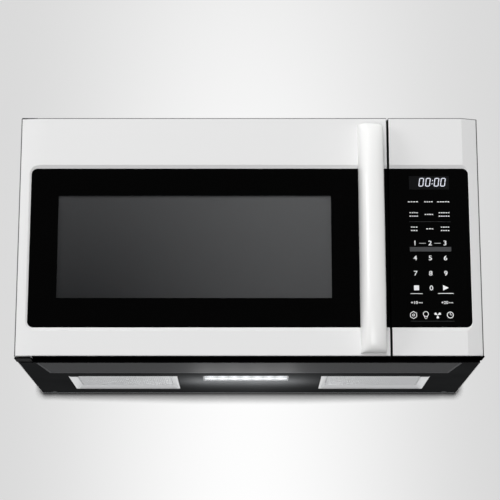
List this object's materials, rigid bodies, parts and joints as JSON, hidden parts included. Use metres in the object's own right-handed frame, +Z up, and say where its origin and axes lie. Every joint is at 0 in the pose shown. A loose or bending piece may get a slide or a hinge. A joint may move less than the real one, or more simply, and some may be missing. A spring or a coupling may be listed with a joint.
{
  "type": "over the range microwave oven",
  "caption": "Over the range microwave oven with a side-hinged glass door, blade handle, touch panel, turntable, grease filters, cooktop lamp and top exhaust.",
  "frame": {"origin": "middle of the footprint, on the underside", "axes": "+X to the viewer's right, +Y into the wall, +Z up; the door faces -Y"},
  "size_m": [0.759, 0.408, 0.414],
  "materials": {
    "black_glass": "black printed border, smoked window",
    "black_plastic": "fine grain",
    "black_rubber": "matte",
    "bracket_steel": "dark grey paint",
    "cavity_enamel": "smooth grey enamel",
    "charcoal_carbon": "activated carbon bed",
    "charcoal_paint": "matte charcoal powder coat",
    "charcoal_panel_paint": "satin charcoal powder coat",
    "circuit_board": "solder mask",
    "clear_glass": "clear tempered",
    "clear_lens": "clear",
    "copper_enamel": "enamelled copper wire",
    "door_panel_enamel": "black enamel",
    "filter_aluminium": "bright expanded mesh and rolled frame",
    "finned_aluminium": "bare",
    "front_plate_paint": "satin black paint",
    "galvanised_steel": "zinc coated sheet",
    "grey_plastic": "fine grain",
    "laminated_steel": "varnished laminations",
    "lamp_diodes": "white board with lit diodes",
    "mica_sheet": "pressed mica",
    "natural_plastic": "natural acetal",
    "white_case_paint": "satin white powder coat",
    "white_handle": "glossy white moulding",
    "white_moulding": "satin white moulding",
    "zinc_steel": "zinc plated"
  },
  "bodies": {
    "cabinet": {"back_plate": "galvanised_steel", "base_plate": "charcoal_paint", "base_screws": "zinc_steel", "blower_housing": "galvanised_steel", "blower_motor": "laminated_steel", "capacitor": "finned_aluminium", "cavity_lamp": "galvanised_steel", "component_shelf": "galvanised_steel", "control_board": "circuit_board", "control_bottom_trim": "black_plastic", "control_frame": "white_moulding", "control_glass": "black_glass", "cord_grommet": "black_rubber", "display_module": "black_plastic", "exhaust_collar": "galvanised_steel", "fan_motor": "laminated_steel", "fan_shroud": "black_plastic", "front_plate": "front_plate_paint", "hinge_brackets": "bracket_steel", "interlock_switches": "grey_plastic", "lamp_board": "lamp_diodes", "lamp_housing": "black_plastic", "lamp_lens": "clear_lens", "latch_body": "black_plastic", "magnetron": "finned_aluminium", "mica_cover": "mica_sheet", "noise_filter_board": "circuit_board", "outer_wrap": "white_case_paint", "oven_cavity": "cavity_enamel", "thermal_cutouts": "black_plastic", "transformer_core": "laminated_steel", "transformer_windings": "copper_enamel", "turntable_motor": "galvanised_steel", "underside_front_panel": "charcoal_panel_paint", "vent_tray": "galvanised_steel", "waveguide": "galvanised_steel"},
    "door": {"door_frame": "white_moulding", "door_glass": "black_glass", "door_inner_panel": "door_panel_enamel", "choke_cover": "black_plastic", "inner_window": "clear_glass", "door_bottom_trim": "black_plastic", "door_handle": "white_handle", "handle_screws": "zinc_steel", "hinge_bushes": "natural_plastic", "latch_spring": "zinc_steel"},
    "door_key": {"door_key": "grey_plastic"},
    "turntable": {"turntable_coupler": "natural_plastic", "turntable_tray": "clear_glass"},
    "roller_ring": {"roller_ring": "natural_plastic"},
    "roller_1": {"roller_1": "natural_plastic"},
    "roller_2": {"roller_2": "natural_plastic"},
    "roller_3": {"roller_3": "natural_plastic"},
    "cooling_fan": {"fan_blade": "grey_plastic"},
    "blower": {"blower_wheels": "grey_plastic"},
    "damper": {"damper_flap": "filter_aluminium"},
    "filter_left": {"grease_filter_left": "filter_aluminium"},
    "filter_right": {"grease_filter_right": "filter_aluminium"},
    "vent_grille": {"top_vent_grille": "white_moulding", "charcoal_filter": "charcoal_carbon"}
  },
  "joints": [
    {"name": "door_hinge", "type": "hinge", "parent": "cabinet", "child": "door", "pos_m": [-0.3695, -0.152, 0.2055], "axis": [0, 0, -1], "range_deg": [0, 110]},
    {"name": "door_key_slide", "type": "slide", "parent": "door", "child": "door_key", "axis": [0, 0, 1], "range_m": [0, 0.005], "stiffness_N_per_m": 200, "springref_m": -0.01, "deforming": ["latch_spring"]},
    {"name": "turntable_spin", "type": "hinge", "parent": "cabinet", "child": "turntable", "pos_m": [-0.07, 0.029, 0.0746], "axis": [0, 0, 1], "continuous": true},
    {"name": "roller_ring_spin", "type": "hinge", "parent": "cabinet", "child": "roller_ring", "pos_m": [-0.07, 0.029, 0.0673], "axis": [0, 0, 1], "continuous": true},
    {"name": "roller_1_spin", "type": "hinge", "parent": "roller_ring", "child": "roller_1", "pos_m": [0.025, 0.029, 0.0673], "axis": [1, 0, 0], "continuous": true},
    {"name": "roller_2_spin", "type": "hinge", "parent": "roller_ring", "child": "roller_2", "pos_m": [-0.1175, 0.11127, 0.0673], "axis": [-0.5, 0.866, 0], "continuous": true},
    {"name": "roller_3_spin", "type": "hinge", "parent": "roller_ring", "child": "roller_3", "pos_m": [-0.1175, -0.05327, 0.0673], "axis": [-0.5, -0.866, 0], "continuous": true},
    {"name": "cooling_fan_spin", "type": "hinge", "parent": "cabinet", "child": "cooling_fan", "pos_m": [0.285, 0.135, 0.19], "axis": [0, 1, 0], "continuous": true},
    {"name": "blower_spin", "type": "hinge", "parent": "cabinet", "child": "blower", "pos_m": [0, 0.14, 0.3532], "axis": [1, 0, 0], "continuous": true},
    {"name": "damper_hinge", "type": "hinge", "parent": "cabinet", "child": "damper", "pos_m": [0, 0.1027, 0.4085], "axis": [1, 0, 0], "range_deg": [0, 80]},
    {"name": "filter_left_drop", "type": "slide", "parent": "cabinet", "child": "filter_left", "axis": [0, 0, -1], "range_m": [0, 0.06]},
    {"name": "filter_right_drop", "type": "slide", "parent": "cabinet", "child": "filter_right", "axis": [0, 0, -1], "range_m": [0, 0.06]},
    {"name": "vent_grille_lift", "type": "slide", "parent": "cabinet", "child": "vent_grille", "axis": [0, 0, 1], "range_m": [0, 0.04]}
  ],
  "couplings": [
    {"joint": "roller_ring_spin", "follows": "turntable_spin", "ratio": 0.5},
    {"joint": "roller_1_spin", "follows": "turntable_spin", "ratio": -6.7857},
    {"joint": "roller_2_spin", "follows": "turntable_spin", "ratio": -6.7857},
    {"joint": "roller_3_spin", "follows": "turntable_spin", "ratio": -6.7857}
  ]
}
